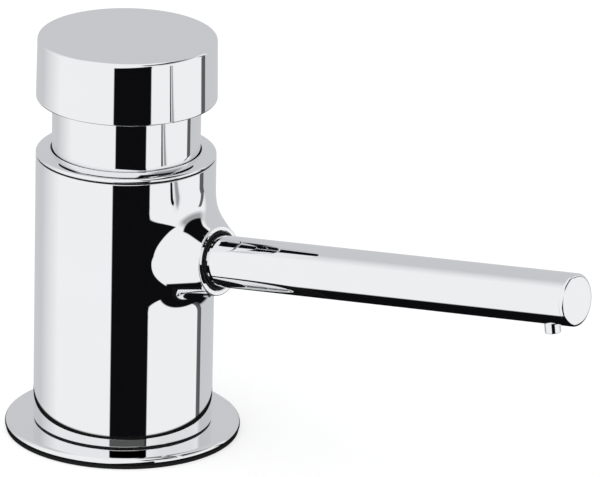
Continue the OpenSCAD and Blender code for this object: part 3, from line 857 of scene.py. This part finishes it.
def spout_end():
    """Plug with the flat face at the end of the tube."""
    edges = settings("edges")
    low, high = along_spout("spout_end_plug")
    inside = half_width("outlet_block")
    return turned("chrome_spout_end", rounded([
        (0, low, 0), (inside, low, edges.small), (inside, tube_end, 0),
        (tube_radius, tube_end, edges.joint), (tube_radius, high, edges.plug), (0, high, 0)]),
        spout_place)


def nozzle():
    """Short pipe under the end of the tube."""
    edges = settings("edges")
    radius, under = nozzle_place()
    corners = corners_of("spout_nozzle", under)
    bore = min(corner.xy.length for corner in corners)
    top = min(corner.z for corner in corners)
    tip = max(corner.z for corner in corners)
    return turned("chrome_nozzle", rounded([
        (bore, top, 0), (radius, top, 0), (radius, tip, edges.small),
        (bore, tip, edges.small / 2)]), under, NOZZLE_STEPS)


def socket_ring():
    """Ring of round section in the mouth of the socket."""
    low, high = along_spout("spout_o_ring")
    radius = (high - low) / 2
    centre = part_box("spout_o_ring")[1].y - radius
    full = [math.tau * step / RING_STEPS for step in range(RING_STEPS)]
    section = ellipse(centre, (low + high) / 2, radius, radius, full)
    return turned("socket_ring", section, spout_place)


# Thread and spring trees

def geometry_tree(name, *numbers):
    """Empty geometry tree for a shape and named numbers, its bench and a link for each input."""
    tree = bpy.data.node_groups.new(name, "GeometryNodeTree")
    tree.interface.new_socket("Geometry", in_out="INPUT", socket_type="NodeSocketGeometry")
    for label in numbers:
        tree.interface.new_socket(label, in_out="INPUT", socket_type="NodeSocketFloat")
    tree.interface.new_socket("Geometry", in_out="OUTPUT", socket_type="NodeSocketGeometry")
    bench = Bench(tree)
    source = bench.node("NodeGroupInput").socket.node
    links = {label: Wire(bench, source.outputs[label]) for label in ("Geometry", *numbers)}
    return tree, bench, links


def end_tree(bench, shape, finish):
    """Ends a geometry tree in plain mesh with one finish."""
    plain = bench.node("GeometryNodeRealizeInstances", {"Geometry": shape})
    coloured = bench.node("GeometryNodeSetMaterial", {"Geometry": plain, "Material": finish})
    bench.node("NodeGroupOutput", {"Geometry": coloured})


def grow(piece, tree, values):
    """Runs a geometry tree on a piece with these values and keeps the result as plain mesh."""
    modifier = piece.modifiers.new(tree.name, "NODES")
    modifier.node_group = tree
    for item in tree.interface.items_tree:
        if item.in_out == "INPUT" and item.name in values:
            modifier[item.identifier] = values[item.name]
    return applied(piece)


def spring_tree(finish):
    """Round wire wound on a helix."""
    tree, bench, links = geometry_tree("wind_spring", "Radius", "Wire radius", "Height", "Turns", "Low")
    helix = bench.node("GeometryNodeCurveSpiral", {
        "Resolution": SPRING_STEPS, "Rotations": links["Turns"], "Start Radius": links["Radius"],
        "End Radius": links["Radius"], "Height": links["Height"]})
    lift = bench.node("CombineXYZ", {"Z": links["Low"]})
    placed = bench.node("GeometryNodeTransform", {"Geometry": helix, "Translation": lift})
    section = bench.node("GeometryNodeCurvePrimitiveCircle", {
        "Resolution": WIRE_STEPS, "Radius": links["Wire radius"]})
    wound = bench.node("GeometryNodeCurveToMesh", {
        "Curve": placed, "Profile Curve": section, "Fill Caps": True})
    end_tree(bench, wound, finish)
    return tree


def thread_tree(finish):
    """Cuts a thread into the points of a turned piece that lie on one radius."""
    tree, bench, links = geometry_tree(
        "cut_thread", "Radius", "Pitch", "Depth", "Low", "High", "Run-out")
    x, y, z = along_axes(bench, bench.node("GeometryNodeInputPosition"))
    squared = x * x + y * y
    radius = squared.maths("SQRT", squared)
    turns = x.maths("ARCTAN2", y, x) / math.tau
    phase = z / links["Pitch"] - turns
    wave = phase.maths("PINGPONG", phase, 0.5) * 2
    groove = (wave * GROOVE_SLOPE - GROOVE_CREST).clamped()
    rising = ((z - links["Low"]) / links["Run-out"]).clamped()
    falling = ((links["High"] - z) / links["Run-out"]).clamped()
    fade = rising * falling
    on_radius = radius.maths("COMPARE", radius, links["Radius"], THREAD_REACH)
    scale = 1 - on_radius * fade * groove * links["Depth"] / radius
    moved = bench.node("CombineXYZ", {"X": x * scale, "Y": y * scale, "Z": z})
    cut = bench.node("GeometryNodeSetPosition", {"Geometry": links["Geometry"], "Position": moved})
    end_tree(bench, cut, finish)
    return tree


def stretch(radius, low, high, step):
    """Points of an outline that runs up a threaded wall in short steps."""
    count = max(2, round((high - low) / step))
    return [Vector((radius, low + (high - low) * place / count)) for place in range(count + 1)]


# Operators

class DISPENSER_OT_finishes(bpy.types.Operator):
    """Makes the finishes"""

    bl_idname = "dispenser.finishes"
    bl_label = "Finishes"

    def execute(self, context):
        colours = settings("finishes")
        finishes.update({
            "chrome": chrome_finish(),
            "black_rubber": rubber_finish(),
            "white_plastic": plastic_finish("white_plastic", colours.white_plastic),
            "black_plastic": plastic_finish("black_plastic", colours.black_plastic),
            "steel": turned_metal_finish("turned_steel", colours.steel, roughness=0.16),
            "brass": turned_metal_finish("turned_brass", colours.brass, roughness=0.2),
            "clear_hose": hose_finish(),
        })
        return {"FINISHED"}


class DISPENSER_OT_button(bpy.types.Operator):
    """Builds the cap and the sleeve that the hand presses"""

    bl_idname = "dispenser.button"
    bl_label = "Push button"

    def execute(self, context):
        edges = settings("edges")
        radius, low, high = upright("push_cap")
        sleeve_radius, sleeve_low, sleeve_high = upright("button_sleeve")
        bush_bore = upright("cap_insert")[0] + SEAT_FIT
        lip_top = upright("guide_bush")[1] - LIP_GAP
        neck = inside_radius("guide_bush")
        cap = turned("chrome_cap", rounded([
            (0, sleeve_high, 0), (neck, sleeve_high, 0), (neck, low, edges.small),
            (radius, low, edges.cap_foot), (radius - edges.cap_draft / 2, high, edges.cap_top),
            (0, high, 0)]))
        finished(cap, "button", "chrome", "push_cap")
        wall = neck - SEAT_FIT
        sleeve = turned("chrome_neck", rounded([
            (bush_bore, sleeve_low, edges.small), (sleeve_radius, sleeve_low, edges.small),
            (sleeve_radius, lip_top, edges.small), (wall, lip_top, 0), (wall, sleeve_high, 0),
            (bush_bore, sleeve_high, 0)]))
        finished(sleeve, "button", "chrome", "button_sleeve")
        return {"FINISHED"}


class DISPENSER_OT_body(bpy.types.Operator):
    """Builds the body with its flared socket and the collar ring on top"""

    bl_idname = "dispenser.body"
    bl_label = "Body"

    def execute(self, context):
        body = carved(body_blank(), *body_cutters())
        finished(body, "base", "chrome", "body_shell")
        finished(collar(), "base", "chrome", "collar_ring")
        return {"FINISHED"}


class DISPENSER_OT_foot(bpy.types.Operator):
    """Builds the rosette and the gasket under it"""

    bl_idname = "dispenser.foot"
    bl_label = "Foot"

    def execute(self, context):
        edges = settings("edges")
        hole = upright("threaded_shank")[0] + PASS_FIT
        for name, node, slot, below, above in (
                ("chrome_rosette", "rosette", "chrome", edges.seam, edges.rosette),
                ("foot_gasket", "base_gasket", "black_rubber", edges.small, edges.small)):
            radius, low, high = upright(node)
            disc = turned(name, rounded([
                (hole, low, 0), (radius, low, below), (radius, high, above), (hole, high, 0)]))
            finished(disc, "base", slot, node)
        return {"FINISHED"}


class DISPENSER_OT_spout(bpy.types.Operator):
    """Builds the spout tube, its end, its nozzle and the black ring at its socket"""

    bl_idname = "dispenser.spout"
    bl_label = "Spout"

    def execute(self, context):
        finished(spout_tube(), "base", "chrome", "spout_tube")
        finished(spout_end(), "base", "chrome", "spout_end_plug")
        finished(nozzle(), "base", "chrome", "spout_nozzle")
        finished(socket_ring(), "base", "black_rubber", "spout_o_ring")
        return {"FINISHED"}


class DISPENSER_OT_spring(bpy.types.Operator):
    """Winds the return spring"""

    bl_idname = "dispenser.spring"
    bl_label = "Return spring"

    def execute(self, context):
        low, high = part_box("return_spring")
        wire = settings("spring").wire
        spring = new_piece("lift_spring", [], [])
        grow(spring, spring_tree(finishes["steel"]), {
            "Radius": high.x - wire, "Wire radius": wire, "Height": high.z - low.z - 2 * wire,
            "Turns": settings("spring").turns, "Low": low.z + wire})
        smooth(spring.data)
        finished(spring, "base", "steel", "return_spring")
        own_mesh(spring)
        return {"FINISHED"}


class DISPENSER_OT_shank(bpy.types.Operator):
    """Turns the shank below the deck and cuts its two threads"""

    bl_idname = "dispenser.shank"
    bl_label = "Threaded shank"

    def execute(self, context):
        threads = settings("threads")
        radius, low, high = upright("threaded_shank")
        bore = inside_radius("threaded_shank")
        bottle_radius = threads.bottle_radius
        shoulder = upright("fixing_nut")[1] - threads.shoulder
        edge = threads.chamfer
        outline = sharp((bore, low), (bottle_radius - edge, low))
        outline += stretch(
            bottle_radius, low + edge, shoulder - edge, threads.bottle_pitch / PITCH_STEPS)
        outline += sharp((bottle_radius, shoulder), (radius - edge, shoulder))
        outline += stretch(radius, shoulder + edge, high, threads.shank_pitch / PITCH_STEPS)
        outline += sharp((bore, high))
        shank = turned("brass_shank", outline, None, SHANK_STEPS)
        tree = thread_tree(finishes["brass"])
        fade = threads.run_out
        for wall, pitch, depth, start, end in (
                (radius, threads.shank_pitch, threads.shank_depth, shoulder, high - threads.plain),
                (bottle_radius, threads.bottle_pitch, threads.bottle_depth, low, shoulder - fade)):
            grow(shank, tree, {
                "Radius": wall, "Pitch": pitch, "Depth": depth, "Low": start, "High": end,
                "Run-out": fade})
        smooth(shank.data)
        finished(shank, "base", "brass", "threaded_shank")
        return {"FINISHED"}


class DISPENSER_OT_hidden_parts(bpy.types.Operator):
    """Gives the pieces inside the body and below the deck their finishes"""

    bl_idname = "dispenser.hidden_parts"
    bl_label = "Hidden parts"

    def execute(self, context):
        for slot, names in HIDDEN_PARTS.items():
            for name in names:
                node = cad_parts[name]
                node.data.materials.clear()
                node.data.materials.append(finishes[slot])
        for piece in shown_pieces():
            piece.visible_glossy = piece.name not in BELOW_DECK
        return {"FINISHED"}


HIDDEN_PARTS = {
    "black_plastic": ("guide_bush",),
    "black_rubber": ("body_seal", "collar_seal", "piston_seal", "pump_seal", "clamp_rubber"),
    "brass": ("pump_retainer", "fixing_nut"),
    "clear_hose": ("feed_hose", "suction_tube"),
    "steel": (
        "rod_screw", "piston_rod", "inlet_ball", "outlet_ball", "spout_grub_screw", "clamp_washer"),
    "white_plastic": (
        "cap_insert", "piston", "pump_housing", "pump_cap", "inlet_cage", "outlet_elbow",
        "outlet_block"),
}
# Pieces under the deck, which the chrome above it can't reflect
BELOW_DECK = ("brass_shank", "clamp_rubber", "clamp_washer", "fixing_nut", "suction_tube")


class DISPENSER_OT_stage(bpy.types.Operator):
    """Sets up the deck, the light round the dispenser and the camera"""

    bl_idname = "dispenser.stage"
    bl_label = "Stage"

    def execute(self, context):
        lay_deck()
        hang_lamp()
        light_surroundings(context.scene)
        place_camera(context.scene)
        context.scene.view_settings.view_transform = "Standard"
        return {"FINISHED"}


WHITE = (1.0, 1.0, 1.0)
DECK_SIDE = 60.0
DECK_COLOUR = (0.5, 0.5, 0.5)
DECK_MOTTLE = (0.49, 0.49, 0.49)
DECK_GLOW = 0.6
# Painted contact shadow round the rosette, a dark ring that only the chrome mirrors: how far it
# reaches, its soft end and its colour
CONTACT_REACH = 8.4 * MM
CONTACT_BLUR = 1.0 * MM
PAINTED_SHADOW_COLOUR = (0.01, 0.01, 0.01)


def lay_deck():
    """White deck at the foot of the gasket, which keeps the shadow and which chrome sees through, but
    for a painted contact shadow round the rosette.
    """
    half = DECK_SIDE / 2
    corners = [(-half, -half, 0), (half, -half, 0), (half, half, 0), (-half, half, 0)]
    mesh = bpy.data.meshes.new("deck")
    mesh.from_pydata(corners, [], [(0, 1, 2, 3)])
    deck = new_object("deck", mesh)
    finish, bench, place = new_finish("white_deck")
    paint = bench.blend(noise(bench, place, scale=4.0), DECK_COLOUR, DECK_MOTTLE)
    matt = bench.node("BsdfDiffuse", {"Color": paint})
    glow = bench.node("Emission", {"Color": opaque(WHITE), "Strength": DECK_GLOW})
    both = bench.node("AddShader", {0: matt, 1: glow})
    # Painted contact shadow: a dark ring round the rosette that only reflections in the chrome show
    distance = bench.node("VectorMath", {0: place}, "Value", operation="LENGTH")
    shade_end = upright("rosette")[0] + CONTACT_REACH
    painted_contact_shadow = ((shade_end - distance) / CONTACT_BLUR).clamped()
    clear = bench.node("BsdfTransparent")
    dark = bench.node("BsdfDiffuse", {"Color": opaque(PAINTED_SHADOW_COLOUR)})
    mirrored = bench.node("MixShader", {0: painted_contact_shadow, 1: clear, 2: dark})
    in_chrome = bench.node("LightPath", None, "Is Glossy Ray")
    surface = bench.node("MixShader", {0: in_chrome, 1: both, 2: mirrored})
    bench.node("OutputMaterial", {"Surface": surface})
    mesh.materials.append(finish)
    deck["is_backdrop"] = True


LAMP_SIZE = 1.2
LAMP_PLACE = (0.1, -0.2, 1.3)


def hang_lamp():
    """Wide soft lamp overhead that only lights the matt pieces and the deck."""
    data = bpy.data.lights.new("overhead", "AREA")
    data.shape = "DISK"
    data.size = LAMP_SIZE
    data.energy = settings("studio").lamp_power
    lamp = new_object("overhead", data)
    lamp.location = LAMP_PLACE
    lamp.visible_glossy = False


# Past straight down, so that a band that starts here has no soft end
NADIR = -95.0


def light_surroundings(scene):
    """White studio with the dark cards and lines that polished chrome shows, fixed in the frame.

    Cards and lines are given in degrees, by their bearing from the camera's side and their height.
    """
    world = bpy.data.worlds.new("studio")
    world.use_nodes = True
    world.node_tree.nodes.clear()
    scene.world = world
    bench = Bench(world.node_tree)
    bearing, height = pointing(bench, bench.node("TexCoord", None, "Generated"))
    bright = (0.925, 0.93, 0.935)
    backdrop = (0.60, 0.61, 0.625)
    grey = (0.36, 0.36, 0.37)
    shade = (0.03, 0.03, 0.035)
    black = (0.004, 0.004, 0.005)

    def card(sides, side_blur, heights, height_blur):
        """1 on a card between two bearings and two heights."""
        return band(bearing, *sides, side_blur) * band(height, *heights, height_blur)

    rear = 1 - band(bearing, -112.0, 180.0, 40.0) * band(bearing, -180.0, 117.0, 8.0)
    wall = rear * band(height, -80.0, 62.0, 10.0)
    rear_floor = rear * band(height, NADIR, -26.0, 4.0)
    grey_card = card((44.0, 112.0), 18.0, (26.0, 46.0), 12.0)
    high_card = card((27.0, 106.0), 4.0, (41.0, 63.0), 3.0)
    line = card((110.5, 119.5), 1.0, (-60.0, -15.0), 2.0)
    bent_line = band(bearing + height * 0.45, 104.7, 111.2, 1.0) * band(height, -15.0, 12.0, 2.0)
    slanted_top = band(height - bearing * 0.8, -180.0, -2.5, 2.0)
    panel = band(bearing, *PANEL_SIDES, PANEL_BLUR) * slanted_top
    floor = band(height, NADIR, -54.0, 3.0)
    right_floor = card((10.0, 190.0), 10.0, (NADIR, -38.0), 3.0)
    seen = bench.node("LightPath", None, "Is Camera Ray")
    colour = bright
    for cover, tone in (
            (wall, backdrop), (rear_floor, black), (grey_card, grey), (high_card, black),
            ((line + bent_line) * 0.9, shade), (panel, black), (floor, black), (right_floor, black),
            (seen, WHITE)):
        colour = bench.blend(cover, colour, tone)
    glow = bench.node("Background", {"Color": colour, "Strength": 1.0})
    bench.node("OutputWorld", {"Surface": glow})


# How far the camera sees
FARTHEST = 100.0


def place_camera(scene):
    """Camera at the photograph's viewing angle."""
    studio = settings("studio")
    azimuth, elevation, roll = studio.azimuth, studio.elevation, studio.roll
    flat = math.cos(elevation)
    back = Vector((math.sin(azimuth) * flat, -math.cos(azimuth) * flat, math.sin(elevation)))
    level = Vector((math.cos(azimuth), math.sin(azimuth), 0))
    up = back.cross(level)
    right = level * math.cos(roll) + up * math.sin(roll)
    top = up * math.cos(roll) - level * math.sin(roll)
    data = bpy.data.cameras.new("photo_view")
    data.lens = studio.focal
    data.clip_end = FARTHEST
    camera = new_object("photo_view", data)
    aim = Vector((0, 0, studio.aim_height))
    spot = aim + right * studio.shift_right + top * studio.shift_up + back * studio.distance
    camera.matrix_world = Matrix.Translation(spot) @ Matrix((right, top, back)).transposed().to_4x4()
    scene.camera = camera


class DISPENSER_PT_panel(bpy.types.Panel):
    """Lists the steps that build the dispenser"""

    bl_label = "Soap dispenser"
    bl_idname = "DISPENSER_PT_panel"
    bl_space_type = "VIEW_3D"
    bl_region_type = "UI"
    bl_category = "Dispenser"

    def draw(self, context):
        for name, group in SETTINGS.items():
            box = self.layout.box()
            box.label(text=group.__doc__)
            for key in group.__annotations__:
                box.prop(getattr(context.scene, name), key)
        for step in STEPS:
            self.layout.operator(step.bl_idname)


STEPS = (
    DISPENSER_OT_finishes,
    DISPENSER_OT_stage,
    DISPENSER_OT_button,
    DISPENSER_OT_body,
    DISPENSER_OT_foot,
    DISPENSER_OT_spout,
    DISPENSER_OT_spring,
    DISPENSER_OT_shank,
    DISPENSER_OT_hidden_parts,
)


def register():
    """Adds the settings, operators and panel to Blender."""
    for name, group in SETTINGS.items():
        bpy.utils.register_class(group)
        setattr(bpy.types.Scene, name, bpy.props.PointerProperty(type=group))
    for step in (*STEPS, DISPENSER_PT_panel):
        bpy.utils.register_class(step)


def unregister():
    """Takes them away again."""
    for step in reversed((*STEPS, DISPENSER_PT_panel)):
        bpy.utils.unregister_class(step)
    for name, group in SETTINGS.items():
        delattr(bpy.types.Scene, name)
        bpy.utils.unregister_class(group)


def main():
    """Builds the whole dispenser."""
    register()
    for step in STEPS:
        family, action = step.bl_idname.split(".")
        getattr(getattr(bpy.ops, family), action)()


if __name__ == "__main__":
    main()
